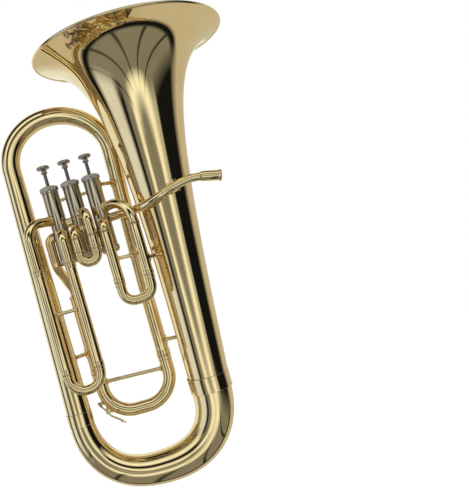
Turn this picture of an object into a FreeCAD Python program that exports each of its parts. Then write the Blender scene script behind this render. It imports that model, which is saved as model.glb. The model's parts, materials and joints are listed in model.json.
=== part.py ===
import FreeCAD, Part
import math
import os

# Three-valve B flat euphonium, bell upward, millimetres, +Z up, +Y towards the player's back side.
# The origin is under the middle of the instrument, on the plane that touches the bottom bow.

V = FreeCAD.Vector
UP = V(0, 0, 1)

# Bell: a horn whose radius grows as a power of the distance from its rim
BELL_RIM_R = 140.0
BELL_FLARE_POWER = 0.488
BELL_FLARE_DEPTH = 22.2
BELL_RIM = V(46.7, 0, 627.1)
BELL_FOOT = V(28.5, 0, 120)
BELL_WALL = 0.9
BELL_RINGS = (("bell_stem", 330.0), ("bell_throat", 560.0), ("bell_flare", 650.0))
RIM_WIRE_R = 2.2

# Conical branches: centre lines and outer radii
BRANCH_WALL = 0.8
BOW_RIGHT_R = 29.8
BOW_LEFT_R = 18.2
BOW_DEPTH = 95.84
BOW_FULLNESS = (2.45, 2.25)
LEFT_FOOT = V(-167.6, 0, 120)
LEFT_HEAD = V(-164.4, 0, 496.5)
LEFT_HEAD_R = 13.7
TOP_BOW_RISE = 67.3
TOP_BOW_FULLNESS = (2.0, 2.0)
LEG_HEAD = V(-19.2, 34, 496.5)
LEG_HEAD_R = 12.5
BOW_SECTIONS = 13
FERRULE_WALL = 0.55
BELL_FERRULE_BORE = 31.0
LEFT_FERRULE_BORE = 18.5

# Main tuning slide, in a plane behind the bell branch
TUNING_Y = 34.0
TUNING_X = (-129.4, -26.1)
TUNING_OUTER_R = 10.2
TUNING_LEG_R = 9.35
TUNING_TUBE_END_Z = 176.0
TUNING_TUBE_HEAD_Z = (296.0, 262.0)
TUNING_LEG_HEAD_Z = 250.0
CROOK_R = 10.0
CROOK_BEND = 43.0
CROOK_FLOOR_Z = 108.85
CROOK_ROD_Z = (161.0, 157.0)

# Valves, numbered from the bell side
VALVE_X = (-56.8, -88.1, -119.4)
VALVE_Y = -2.0
CASING_R = 12.25
CASING_BORE = 11.0
CASING_Z = (349.0, 457.0)
CAP_R = 13.75
TOP_CAP_FOOT_Z = 454.0
CAP_FLOOR_Z = 343.0
CAP_TOP_Z = 463.0
CAP_PLATE = 2.0
STRUT_Z = 438.0
THIRD_ROD_Z = 280.0
PISTON_R = 10.95
PISTON_Z = (368.0, 456.0)
STEM_R = 2.6
STEM_HOLE_R = 3.1
BUTTON_R = 9.8
BUTTON_Z = (484.0, 492.0)
FELT_HEIGHT = 3.0
PORT_R = 5.9
PISTON_WALL = 0.9
PISTON_PLATE = 1.5
PISTON_PORTS = ((-12, 0), (2, 0), (16, 60), (34, 0))

# Valve slides, in a plane in front of the valves: left and right leg, then heights from the top down
SLIDE_Y = -40.0
SLIDE_OUTER_R = 7.5
SLIDE_LEG_R = 6.7
BRANCH_TUBE_R = 7.0
FIT = 0.05
GAP = 0.3
KNUCKLE_Z = 388.5
KNUCKLE_BEND = 13.0
SLIDES = {
    "first": dict(
        valve=0, x=(-54.8, -12.7), upper_leg=1, upper_z=410.0, upper_bend=32.0,
        tube_z=(375.0, 300.0), bow_z=269.7, bend=17.0, leg_top=372.0, ring=6.0,
    ),
    "second": dict(
        valve=1, x=(-97.0, -73.8), upper_leg=1, upper_z=409.5, upper_bend=15.0,
        tube_z=(375.5, 356.0), bow_z=338.5, bend=11.0, leg_top=375.0, ring=4.0,
    ),
    "third": dict(
        valve=2, x=(-160.5, -114.7), upper_leg=0, upper_z=411.5, upper_bend=24.0,
        tube_z=(345.0, 196.0), bow_z=167.6, bend=22.0, leg_top=335.0, ring=7.0,
    ),
}

# Leadpipe: from the mouthpiece receiver, round the front of the bell, to the first valve
RECEIVER_MOUTH = V(120.5, -62, 402.5)
LEADPIPE_POINTS = (
    V(95.7, -62.5, 408), V(77.5, -60.5, 409.5), V(53.7, -58.5, 405.5), V(31, -56, 398.5),
    V(10.2, -46, 393.5), V(-3.3, -31.4, 393), V(-12.5, -17.5, 393), V(-26.4, -8, 394), V(-49.7, -2, 394),
)
LEADPIPE_R = (5.6, 6.5)
LEADPIPE_WALL = 0.7
RECEIVER_LENGTH = 30.0
RECEIVER_R = 7.2
RECEIVER_BORE = 5.9
RECEIVER_DEPTH = 20.5
RECEIVER_THROAT_R = 4.6

# Link tube from the third valve back to the tuning slide
LINK_Z = 388.5
LINK_X = -139.5

# Water key on the tuning crook: angles round its left bend, 180 being level on the left
KEY_CUP_ANGLE = 203.0
KEY_PIVOT_ANGLE = 219.0
KEY_TIP_ANGLE = 245.0
KEY_PIVOT_HEIGHT = 4.6
KEY_TIP_HEIGHT = 7.8
NIPPLE_R = 3.6
NIPPLE_HEIGHT = 3.0
CORK_HEIGHT = 2.0
KEY_PIN_R = 1.2
KEY_BARREL_R = 2.6
KEY_BARREL_HALF = 3.6
ROD_R = 2.9
SADDLE_R = 7.5
SADDLE_THICKNESS = 1.3


def rod(start, end, radius):
    """Solid cylinder between two points."""
    return Part.makeCylinder(radius, (end - start).Length, start, end - start)


def pipe(start, end, outer, inner):
    """Straight tube between two points."""
    return rod(start, end, outer).cut(rod(start, end, inner))


def cone(start, end, start_r, end_r):
    """Solid cone frustum between two points."""
    return Part.makeCone(start_r, end_r, (end - start).Length, start, end - start)


def washer(centre, outer, inner, height):
    """Flat ring standing on a point, axis vertical."""
    return pipe(centre, centre + UP * height, outer, inner)


def section_face(centre, direction, outer, inner):
    """Disc, or ring when there is a bore, square to the tube's direction."""
    disc = Part.Face(Part.Wire(Part.makeCircle(outer, centre, direction)))
    if inner <= 0:
        return disc
    bore = Part.Face(Part.Wire(Part.makeCircle(inner, centre, direction)))
    return disc.cut(bore).Faces[0]


def bent_tube(points, bends, outer, inner=0.0):
    """Tube of constant section along straight runs joined by tangent arcs."""
    pieces = []
    cursor = points[0]
    for i, bend in enumerate(bends, start=1):
        before = (points[i] - points[i - 1]).normalize()
        after = (points[i + 1] - points[i]).normalize()
        turn = before.getAngle(after)
        setback = bend * math.tan(turn / 2)
        arc_start = points[i] - before * setback
        if (arc_start - cursor).Length > 1e-4:
            pieces.append(section_face(cursor, before, outer, inner).extrude(arc_start - cursor))
        side = (after - before * before.dot(after)).normalize()
        face = section_face(arc_start, before, outer, inner)
        pieces.append(face.revolve(arc_start + side * bend, before.cross(after), math.degrees(turn)))
        cursor = points[i] + after * setback
    if (points[-1] - cursor).Length > 1e-4:
        direction = (points[-1] - cursor).normalize()
        pieces.append(section_face(cursor, direction, outer, inner).extrude(points[-1] - cursor))
    return join(pieces)


def join(pieces):
    """One solid made of pieces that touch or overlap."""
    if len(pieces) == 1:
        return pieces[0]
    return pieces[0].multiFuse(pieces[1:]).removeSplitter()


def section_wire(centre, tangent, side, radius):
    """Circle square to a path, with its seam always on the same side."""
    wire = Part.Wire(Part.makeCircle(radius))
    wire.Placement = FreeCAD.Placement(centre, FreeCAD.Rotation(side, V(), tangent, "ZXY"))
    return wire


def bow_point(start, end, rise, fullness, share):
    """Point on a half turn between two points, fuller than an ellipse where the fullness is over 2."""
    angle = math.pi * share
    power = fullness[0] + (fullness[1] - fullness[0]) * share
    reach = (abs(math.cos(angle)) ** power + abs(math.sin(angle)) ** power) ** (-1 / power)
    middle = (start + end) * 0.5
    across = (end - start) * 0.5
    return middle - across * (reach * math.cos(angle)) + UP * (rise * reach * math.sin(angle))


def bow_sections(start, end, rise, fullness, start_r, end_r, thinner):
    """Circles along a half turn that stands on, or hangs from, the line between two points."""
    side = (end - start).cross(UP).normalize()
    wires = []
    for i in range(BOW_SECTIONS):
        share = i / (BOW_SECTIONS - 1)
        centre = bow_point(start, end, rise, fullness, share)
        ahead = bow_point(start, end, rise, fullness, share + 0.001)
        behind = bow_point(start, end, rise, fullness, share - 0.001)
        tangent = ahead - behind
        if i in (0, BOW_SECTIONS - 1):
            tangent = UP * tangent.z
        radius = start_r + (end_r - start_r) * share - thinner
        wires.append(section_wire(centre, tangent.normalize(), side, radius))
    return wires


def conical_bow(start, end, rise, fullness, start_r, end_r):
    """Filled and hollow versions of a tapered half turn."""
    filled = Part.makeLoft(bow_sections(start, end, rise, fullness, start_r, end_r, 0.0), True, False)
    bore = Part.makeLoft(bow_sections(start, end, rise, fullness, start_r, end_r, BRANCH_WALL), True, False)
    return filled, filled.cut(bore)


def conical_leg(start, end, start_r, end_r):
    """Filled and hollow versions of a tapered straight branch with level ends."""
    lean = (end - start).normalize() * 3.0
    growth = (end_r - start_r) * 3.0 / (end - start).Length
    slab = Part.makeBox(200, 200, abs(end.z - start.z), V(start.x - 100, start.y - 100, min(start.z, end.z)))
    filled = cone(start - lean, end + lean, start_r - growth, end_r + growth).common(slab)
    bore = cone(
        start - lean, end + lean, start_r - growth - BRANCH_WALL, end_r + growth - BRANCH_WALL
    ).common(slab)
    return filled, filled.cut(bore)


def bell_radius(from_rim):
    """Outer radius of the bell at a distance below its rim, along the axis."""
    return BELL_RIM_R * (BELL_FLARE_DEPTH / (BELL_FLARE_DEPTH + from_rim)) ** BELL_FLARE_POWER


def bell_slope(from_rim):
    return BELL_FLARE_POWER * bell_radius(from_rim) / (BELL_FLARE_DEPTH + from_rim)


def bell_shape(wall):
    """Bell turned about its leaning axis; filled when the wall is nought."""
    length = (BELL_RIM - BELL_FOOT).Length
    stations = [0, 4, 9, 16, 26, 42, 65, 95, 140, 200, 280, 370, 450, length + 2]
    outer = [V(bell_radius(s), 0, length - s) for s in stations]
    curve = Part.BSplineCurve()
    curve.interpolate(outer)
    edges = [curve.toShape()]
    if wall > 0:
        inner = [
            V(bell_radius(s) - wall * math.hypot(1, bell_slope(s)), 0, length - s) for s in stations
        ]
        bore = Part.BSplineCurve()
        bore.interpolate(inner)
        edges += [
            Part.LineSegment(outer[-1], inner[-1]).toShape(),
            bore.toShape(),
            Part.LineSegment(inner[0], outer[0]).toShape(),
        ]
    else:
        top, bottom = V(0, 0, length), V(0, 0, -2)
        edges += [
            Part.LineSegment(outer[-1], bottom).toShape(),
            Part.LineSegment(bottom, top).toShape(),
            Part.LineSegment(top, outer[0]).toShape(),
        ]
    face = Part.Face(Part.Wire(Part.__sortEdges__(edges)))
    turned = face.revolve(V(0, 0, 0), UP, 360)
    turned.Placement = FreeCAD.Placement(BELL_FOOT, FreeCAD.Rotation(UP, BELL_RIM - BELL_FOOT))
    return turned.cut(Part.makeBox(120, 120, 20, V(BELL_FOOT.x - 60, -60, BELL_FOOT.z - 20)))


def rim_wire():
    """Rolled bead at the bell's mouth."""
    axis = (BELL_RIM - BELL_FOOT).normalize()
    return Part.makeTorus(BELL_RIM_R - RIM_WIRE_R, RIM_WIRE_R, BELL_RIM + axis * 0.4, axis)


def saddle_brace(start, end, start_r, end_r, start_axis, end_axis, obstacles):
    """Rod between two tubes, with a curved saddle plate where it meets each of them."""
    direction = (end - start).normalize()
    pieces = [rod(start, end, ROD_R)]
    for point, tube_r, axis, towards in (
        (start, start_r, start_axis, direction), (end, end_r, end_axis, direction * -1)
    ):
        plate = rod(point, point + towards * (tube_r + SADDLE_THICKNESS + 4), SADDLE_R)
        skin = rod(point - axis * 30, point + axis * 30, tube_r + SADDLE_THICKNESS)
        pieces.append(plate.common(skin))
    brace = join(pieces)
    for obstacle in obstacles:
        brace = brace.cut(obstacle)
    return largest(brace)


def largest(shape):
    """The biggest solid of a shape, without the scraps that a cut leaves."""
    return max(shape.Solids, key=lambda solid: solid.Volume)


def group(solids):
    return Part.makeCompound(solids)


def bell_parts(parts, fill):
    """Bell as three rings soldered one above the other, and the bead round its mouth."""
    fill["bell"] = bell_shape(0.0)
    parts["bell_rim_wire"] = rim_wire()
    shell = bell_shape(BELL_WALL).cut(parts["bell_rim_wire"])
    low = BELL_FOOT.z
    for name, high in BELL_RINGS:
        slab = Part.makeBox(400, 400, high - low, V(-200, -200, low))
        parts[name] = largest(shell.common(slab))
        low = high


def branch_parts(parts, fill):
    """Bottom bow, left branch, top bow and the leg that leads down to the tuning slide."""
    fill["bottom_bow"], parts["bottom_bow"] = conical_bow(
        BELL_FOOT, LEFT_FOOT, -BOW_DEPTH, BOW_FULLNESS, BOW_RIGHT_R, BOW_LEFT_R
    )
    fill["left_branch"], parts["left_branch"] = conical_leg(
        LEFT_FOOT, LEFT_HEAD, BOW_LEFT_R, LEFT_HEAD_R
    )
    fill["top_bow"], parts["top_bow"] = conical_bow(
        LEFT_HEAD, LEG_HEAD, TOP_BOW_RISE, TOP_BOW_FULLNESS, LEFT_HEAD_R, LEG_HEAD_R
    )
    leg_foot = V(TUNING_X[1], TUNING_Y, TUNING_TUBE_HEAD_Z[1])
    fill["return_leg"], parts["return_leg"] = conical_leg(
        leg_foot, LEG_HEAD, TUNING_OUTER_R, LEG_HEAD_R
    )


def ferrule_parts(parts):
    """Bands that cover the joints of the bell and of the left branch with the bottom bow."""
    for name, foot, bore, low, high in (
        ("bell_ferrule", BELL_FOOT, BELL_FERRULE_BORE, -7.0, 16.0),
        ("left_ferrule", LEFT_FOOT, LEFT_FERRULE_BORE, -5.5, 14.0),
    ):
        band = rod(foot + UP * low, foot + UP * high, bore + FERRULE_WALL)
        band = band.makeFillet(0.4, [edge for edge in band.Edges if edge.Length > 60 and edge.isClosed()])
        parts[name] = band.cut(rod(foot + UP * low, foot + UP * high, bore))


def tuning_parts(parts, fill, bands):
    """Fixed tubes of the main tuning slide, with the bands at their open ends."""
    tubes = []
    for x, head_z in zip(TUNING_X, TUNING_TUBE_HEAD_Z):
        foot = V(x, TUNING_Y, TUNING_TUBE_END_Z)
        head = V(x, TUNING_Y, head_z)
        tubes.append(pipe(foot, head, TUNING_OUTER_R, TUNING_LEG_R + FIT))
        bands.append(washer(foot, TUNING_OUTER_R + 1.0, TUNING_OUTER_R, 8.0))
    fill["tuning_tube_left"] = rod(
        V(TUNING_X[0], TUNING_Y, TUNING_TUBE_END_Z), V(TUNING_X[0], TUNING_Y, TUNING_TUBE_HEAD_Z[0]),
        TUNING_OUTER_R,
    )
    fill["tuning_tube_right"] = rod(
        V(TUNING_X[1], TUNING_Y, TUNING_TUBE_END_Z), V(TUNING_X[1], TUNING_Y, TUNING_TUBE_HEAD_Z[1]),
        TUNING_OUTER_R,
    )
    parts["tuning_outer_tubes"] = group(tubes)


def tuning_crook_parts(parts, fill):
    """Moving crook of the main tuning slide: half turn, inner legs, bands and cross rod."""
    left, right = TUNING_X
    head_z = TUNING_TUBE_END_Z - GAP
    points = [
        V(left, TUNING_Y, head_z), V(left, TUNING_Y, CROOK_FLOOR_Z),
        V(right, TUNING_Y, CROOK_FLOOR_Z), V(right, TUNING_Y, head_z),
    ]
    bends = [CROOK_BEND, CROOK_BEND]
    fill["tuning_crook"] = bent_tube(points, bends, CROOK_R)
    pieces = [bent_tube(points, bends, CROOK_R, TUNING_LEG_R - 0.55)]
    for x in TUNING_X:
        shoulder = V(x, TUNING_Y, head_z)
        pieces.append(pipe(shoulder, V(x, TUNING_Y, TUNING_LEG_HEAD_Z), TUNING_LEG_R, TUNING_LEG_R - 0.55))
        pieces.append(washer(shoulder - UP * 7.0, TUNING_OUTER_R + 0.7, TUNING_LEG_R, 7.0))
    parts["tuning_crook"] = join(pieces)
    ends = [V(left, TUNING_Y, CROOK_ROD_Z[0]), V(right, TUNING_Y, CROOK_ROD_Z[1])]
    along = (ends[1] - ends[0]).normalize() * (CROOK_R + 2.5)
    cross = join([
        rod(ends[0], ends[1], ROD_R),
        rod(ends[0], ends[0] + along, ROD_R + 1.6),
        rod(ends[1], ends[1] - along, ROD_R + 1.6),
    ])
    parts["tuning_crook_rod"] = largest(cross.cut(fill["tuning_crook"]))


def around_crook(angle_deg, height):
    """Point at an angle round the crook's left bend, a height above the outside of its tube."""
    centre = V(TUNING_X[0] + CROOK_BEND, TUNING_Y, CROOK_FLOOR_Z + CROOK_BEND)
    reach = CROOK_BEND + CROOK_R + height
    angle = math.radians(angle_deg)
    return centre + V(reach * math.cos(angle), 0, reach * math.sin(angle))


def water_key_parts(parts, fill):
    """Spout, bracket, lever, cork, pin and spring of the water key."""
    foot = around_crook(KEY_CUP_ANGLE, -2.0)
    lip = around_crook(KEY_CUP_ANGLE, NIPPLE_HEIGHT)
    outward = (lip - foot).normalize()
    pivot = around_crook(KEY_PIVOT_ANGLE, KEY_PIVOT_HEIGHT)
    tip = around_crook(KEY_TIP_ANGLE, KEY_TIP_HEIGHT)
    across = V(0, 1, 0)

    nipple = pipe(foot, lip, NIPPLE_R - 0.6, NIPPLE_R - 1.6)
    base = rod(around_crook(KEY_PIVOT_ANGLE, -2.0), around_crook(KEY_PIVOT_ANGLE, 1.2), 6.4)
    lugs = []
    for side in (-1, 1):
        inner_face = pivot + across * (side * (KEY_BARREL_HALF + GAP))
        lug = rod(inner_face, inner_face + across * (side * 1.6), 2.6)
        down = around_crook(KEY_PIVOT_ANGLE, -2.0) - pivot
        stalk = lug.fuse(lug.translated(down * 0.5)).fuse(lug.translated(down))
        lugs.append(stalk)
    bracket = join([base] + lugs).cut(rod(pivot - across * 8, pivot + across * 8, KEY_PIN_R))
    bracket = bracket.cut(fill["tuning_crook"])
    parts["water_key_bracket"] = group([largest(bracket), largest(nipple.cut(fill["tuning_crook"]))])

    pin_half = KEY_BARREL_HALF + GAP + 2.2
    parts["water_key_pin"] = join([
        rod(pivot - across * pin_half, pivot + across * pin_half, KEY_PIN_R),
        rod(pivot - across * pin_half, pivot - across * (KEY_BARREL_HALF + GAP + 1.6), 2.0),
    ])

    cork_foot = lip + outward * GAP
    cork_head = cork_foot + outward * CORK_HEIGHT
    parts["water_key_cork"] = rod(cork_foot, cork_head, NIPPLE_R)

    cup = rod(cork_foot + outward * 0.9, cork_head + outward * 1.2, NIPPLE_R + 0.8)
    arm_joint = cork_head + outward * 0.6
    barrel = rod(pivot - across * KEY_BARREL_HALF, pivot + across * KEY_BARREL_HALF, KEY_BARREL_R)
    knee = around_crook(KEY_PIVOT_ANGLE + 7, KEY_PIVOT_HEIGHT + 2.2)
    paddle_out = around_crook(KEY_TIP_ANGLE, KEY_TIP_HEIGHT + 1.8)
    lever = join([
        cup, barrel, rod(arm_joint, pivot, 1.5), rod(pivot, knee, 1.6), rod(knee, tip, 1.6),
        rod(tip, paddle_out, 4.6),
    ])
    lever = lever.cut(rod(pivot - across * 8, pivot + across * 8, KEY_PIN_R + FIT))
    parts["water_key_lever"] = largest(lever.cut(parts["water_key_cork"]))

    coil = Part.makeHelix(1.0, 3.0, KEY_BARREL_R + 0.75)
    wire = Part.Wire(Part.makeCircle(0.35, V(KEY_BARREL_R + 0.75, 0, 0), V(0, 1, 0)))
    spring = Part.Wire(coil.Edges).makePipeShell([wire], True, True)
    spring.Placement = FreeCAD.Placement(pivot - across * 1.5, FreeCAD.Rotation(UP, across))
    parts["water_key_spring"] = largest(spring.cut(parts["water_key_lever"]))


def valve_centre(index, z):
    return V(VALVE_X[index], VALVE_Y, z)


def casing_parts(parts, fill):
    """Casings and their screwed caps."""
    for index in range(3):
        number = index + 1
        foot, head = valve_centre(index, CASING_Z[0]), valve_centre(index, CASING_Z[1])
        fill["casing_%d" % number] = rod(
            valve_centre(index, CAP_FLOOR_Z + 1), valve_centre(index, CAP_TOP_Z - 1), CASING_R
        )
        parts["valve_casing_%d" % number] = pipe(foot, head, CASING_R, CASING_BORE)

        top = rod(valve_centre(index, TOP_CAP_FOOT_Z), valve_centre(index, CAP_TOP_Z), CAP_R)
        top = top.makeFillet(2.0, [e for e in top.Edges if e.isClosed() and e.CenterOfMass.z > CAP_TOP_Z - 1])
        for low, high, radius in (
            (TOP_CAP_FOOT_Z, CASING_Z[1], CASING_R),
            (CASING_Z[1], CAP_TOP_Z - CAP_PLATE, CASING_BORE),
            (CAP_TOP_Z - CAP_PLATE, CAP_TOP_Z, STEM_HOLE_R),
        ):
            top = top.cut(rod(valve_centre(index, low), valve_centre(index, high), radius))
        parts["valve_top_cap_%d" % number] = top

        bottom = rod(valve_centre(index, CAP_FLOOR_Z), valve_centre(index, CASING_Z[0] + 5), CAP_R)
        bottom = bottom.makeFillet(
            1.6, [e for e in bottom.Edges if e.isClosed() and e.CenterOfMass.z < CAP_FLOOR_Z + 1]
        )
        for low, high, radius in (
            (CASING_Z[0], CASING_Z[0] + 5, CASING_R),
            (CAP_FLOOR_Z + CAP_PLATE, CASING_Z[0], CASING_BORE),
            (CAP_FLOOR_Z, CAP_FLOOR_Z + CAP_PLATE, 2.5),
        ):
            bottom = bottom.cut(rod(valve_centre(index, low), valve_centre(index, high), radius))
        parts["valve_bottom_cap_%d" % number] = bottom


def button_profile():
    """Half outline of a finger button: narrow neck, wide thin rim and a dished top."""
    low, high = BUTTON_Z
    points = [
        V(0, 0, low), V(STEM_R + 1.4, 0, low), V(STEM_R + 2.2, 0, low + 2.2),
        V(BUTTON_R - 1.6, 0, high - 3.6), V(BUTTON_R, 0, high - 2.4), V(BUTTON_R, 0, high - 1.2),
        V(BUTTON_R - 1.2, 0, high), V(BUTTON_R - 2.4, 0, high), V(0, 0, high - 1.0), V(0, 0, low),
    ]
    return Part.Face(Part.makePolygon(points))


def piston_parts(parts):
    """Pistons with their stems, finger buttons, felts and return springs."""
    for index in range(3):
        number = index + 1
        high = PISTON_Z[1]
        parts["piston_%d" % number] = piston_shape(index)
        parts["valve_stem_%d" % number] = rod(
            valve_centre(index, high), valve_centre(index, BUTTON_Z[0]), STEM_R
        )
        button = button_profile().revolve(V(0, 0, 0), UP, 360)
        parts["finger_button_%d" % number] = button.translated(V(VALVE_X[index], VALVE_Y, 0))
        stop_height = CAP_TOP_Z - CAP_PLATE - GAP - high
        parts["valve_felts_%d" % number] = group([
            washer(valve_centre(index, high), PISTON_R - 1.5, STEM_R, stop_height),
            washer(valve_centre(index, BUTTON_Z[0] - FELT_HEIGHT), 7.0, STEM_R, FELT_HEIGHT),
        ])
        parts["valve_spring_%d" % number] = return_spring(index)


def piston_shape(index):
    """Thin-walled piston with closed ends and tubes across it for the air."""
    low, high = PISTON_Z
    outline = rod(valve_centre(index, low), valve_centre(index, high), PISTON_R)
    hollow = rod(
        valve_centre(index, low + PISTON_PLATE), valve_centre(index, high - PISTON_PLATE),
        PISTON_R - PISTON_WALL,
    )
    piston = outline.cut(hollow)
    for rise, angle in PISTON_PORTS:
        along = V(math.cos(math.radians(angle)), math.sin(math.radians(angle)), 0) * (2 * PISTON_R)
        centre = valve_centre(index, KNUCKLE_Z + rise)
        tube = rod(centre - along, centre + along, PORT_R + PISTON_WALL * 0.7)
        piston = piston.fuse(tube.common(outline)).cut(rod(centre - along, centre + along, PORT_R))
    vent = rod(valve_centre(index, low), valve_centre(index, low + PISTON_PLATE), 3.0)
    return largest(piston.cut(vent))


def return_spring(index):
    """Coil spring between the bottom cap and the piston, its wire a polygon as thick as the round one."""
    wire_r, coil_r, corners = 0.5, 8.0, 12
    low = CAP_FLOOR_Z + CAP_PLATE + wire_r
    high = PISTON_Z[0] - wire_r
    helix = Part.makeHelix((high - low) / 5.0, high - low, coil_r)
    reach = wire_r * math.sqrt(2 * math.pi / (corners * math.sin(2 * math.pi / corners)))
    profile = []
    for i in range(corners + 1):
        angle = 2 * math.pi * i / corners
        profile.append(V(coil_r + reach * math.cos(angle), 0, reach * math.sin(angle)))
    coil = Part.Wire(helix.Edges).makePipeShell([Part.makePolygon(profile)], True, True)
    return coil.translated(valve_centre(index, low))


def cut_ports(parts, index, tube_bores):
    """Open the casing's wall where a tube enters it."""
    name = "valve_casing_%d" % (index + 1)
    for bore in tube_bores:
        parts[name] = largest(parts[name].cut(bore))


def slide_branches(parts, fill, name, slide):
    """The two tubes that lead from a valve to the outer tubes of its slide."""
    index = slide["valve"]
    upper_x = slide["x"][slide["upper_leg"]]
    lower_x = slide["x"][1 - slide["upper_leg"]]
    casing = fill["casing_%d" % (index + 1)]
    tubes = []
    for x, z, bend in ((upper_x, slide["upper_z"], slide["upper_bend"]), (lower_x, KNUCKLE_Z, KNUCKLE_BEND)):
        points = [valve_centre(index, z), V(x, SLIDE_Y, z), V(x, SLIDE_Y, slide["tube_z"][0])]
        tube = bent_tube(points, [bend], BRANCH_TUBE_R, PORT_R)
        tubes.append(largest(tube.cut(casing)))
        fill["%s_branch_%d" % (name, len(tubes))] = bent_tube(points, [bend], BRANCH_TUBE_R)
        towards = (points[1] - points[0]).normalize() * (CASING_R + 2)
        cut_ports(parts, index, [rod(points[0], points[0] + towards, PORT_R)])
    parts["%s_slide_branches" % name] = group(tubes)


def slide_outer_tubes(parts, fill, bands, name, slide):
    """Fixed outer tubes of a valve slide, with a band at each end."""
    head_z, foot_z = slide["tube_z"]
    tubes = []
    for i, x in enumerate(slide["x"]):
        foot, head = V(x, SLIDE_Y, foot_z), V(x, SLIDE_Y, head_z)
        tubes.append(pipe(foot, head, SLIDE_OUTER_R, SLIDE_LEG_R + FIT))
        fill["%s_tube_%d" % (name, i)] = rod(foot, head, SLIDE_OUTER_R)
        bands.append(washer(foot, SLIDE_OUTER_R + 0.9, SLIDE_OUTER_R, slide["ring"]))
        if name == "third":
            bands.append(washer(head - UP * 7, SLIDE_OUTER_R + 1.0, SLIDE_OUTER_R, 7.0))
    parts["%s_slide_outer_tubes" % name] = group(tubes)


def slide_crook(parts, fill, name, slide):
    """Moving crook of a valve slide, with its inner legs."""
    left, right = slide["x"]
    head_z = slide["tube_z"][1] - GAP
    points = [
        V(left, SLIDE_Y, head_z), V(left, SLIDE_Y, slide["bow_z"]),
        V(right, SLIDE_Y, slide["bow_z"]), V(right, SLIDE_Y, head_z),
    ]
    bends = [slide["bend"], slide["bend"]]
    bore = SLIDE_LEG_R - 0.5
    pieces = [bent_tube(points, bends, BRANCH_TUBE_R, bore)]
    band_height = min(6.0, head_z - slide["bow_z"] - slide["bend"])
    for x in slide["x"]:
        shoulder = V(x, SLIDE_Y, head_z)
        pieces.append(pipe(shoulder, V(x, SLIDE_Y, slide["leg_top"]), SLIDE_LEG_R, bore))
        pieces.append(washer(shoulder - UP * band_height, SLIDE_OUTER_R + 0.7, SLIDE_LEG_R, band_height))
    parts["%s_slide_crook" % name] = join(pieces)


def slide_parts(parts, fill, bands):
    for name, slide in SLIDES.items():
        slide_branches(parts, fill, name, slide)
        slide_outer_tubes(parts, fill, bands, name, slide)
        slide_crook(parts, fill, name, slide)


def valve_block_parts(parts, fill):
    """Short tubes and struts between neighbouring casings, and the third slide's cross rod."""
    tubes = []
    struts = [third_slide_rod(fill)]
    for index, z in ((0, 377.0), (1, 403.0)):
        start, end = valve_centre(index, z), valve_centre(index + 1, z)
        near, far = fill["casing_%d" % (index + 1)], fill["casing_%d" % (index + 2)]
        tubes.append(largest(pipe(start, end, BRANCH_TUBE_R, PORT_R).cut(near).cut(far)))
        cut_ports(parts, index, [rod(start, end, PORT_R)])
        cut_ports(parts, index + 1, [rod(start, end, PORT_R)])
        middle = (valve_centre(index, STRUT_Z) + valve_centre(index + 1, STRUT_Z)) * 0.5
        strut = join([
            rod(valve_centre(index, STRUT_Z), valve_centre(index + 1, STRUT_Z), 1.9),
            rod(middle - V(0.9, 0, 0), middle + V(0.9, 0, 0), 3.6),
        ])
        struts.append(largest(strut.cut(near).cut(far)))
    parts["inter_valve_tubes"] = group(tubes)
    parts["valve_section_struts"] = group(struts)


def third_slide_rod(fill):
    """Rod with thicker ends between the outer tubes of the third slide."""
    ends = [V(x, SLIDE_Y, THIRD_ROD_Z) for x in SLIDES["third"]["x"]]
    along = V(SLIDE_OUTER_R + 2.2, 0, 0)
    cross = join([
        rod(ends[0], ends[1], ROD_R),
        rod(ends[0], ends[0] + along, ROD_R + 1.5),
        rod(ends[1], ends[1] - along, ROD_R + 1.5),
    ])
    return largest(cross.cut(fill["third_tube_0"]).cut(fill["third_tube_1"]))


def link_tube_parts(parts, fill):
    """Tube from the third valve down and back to the left tube of the tuning slide."""
    points = [
        valve_centre(2, LINK_Z), V(LINK_X, VALVE_Y, LINK_Z), V(LINK_X, VALVE_Y, 345),
        V(TUNING_X[0], TUNING_Y, 306), V(TUNING_X[0], TUNING_Y, TUNING_TUBE_HEAD_Z[0]),
    ]
    bends = [9.0, 24.0, 22.0]
    tube = bent_tube(points, bends, BRANCH_TUBE_R, PORT_R)
    fill["valve_link_tube"] = bent_tube(points, bends, BRANCH_TUBE_R)
    parts["valve_link_tube"] = largest(tube.cut(fill["casing_3"]))
    cut_ports(parts, 2, [rod(points[0], points[0] - V(CASING_R + 2, 0, 0), PORT_R)])


def leadpipe_solid(thinner):
    """Tapered pipe along a smooth curve through its points."""
    curve = Part.BSplineCurve()
    curve.interpolate(list(LEADPIPE_POINTS))
    count = 20
    wires = []
    for i in range(count + 1):
        share = i / count
        parameter = curve.FirstParameter + share * (curve.LastParameter - curve.FirstParameter)
        radius = LEADPIPE_R[0] + (LEADPIPE_R[1] - LEADPIPE_R[0]) * share - thinner
        tangent = V(*curve.tangent(parameter)[0])
        wires.append(section_wire(curve.value(parameter), tangent, UP, radius))
    return Part.makeLoft(wires, True, False)


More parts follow.
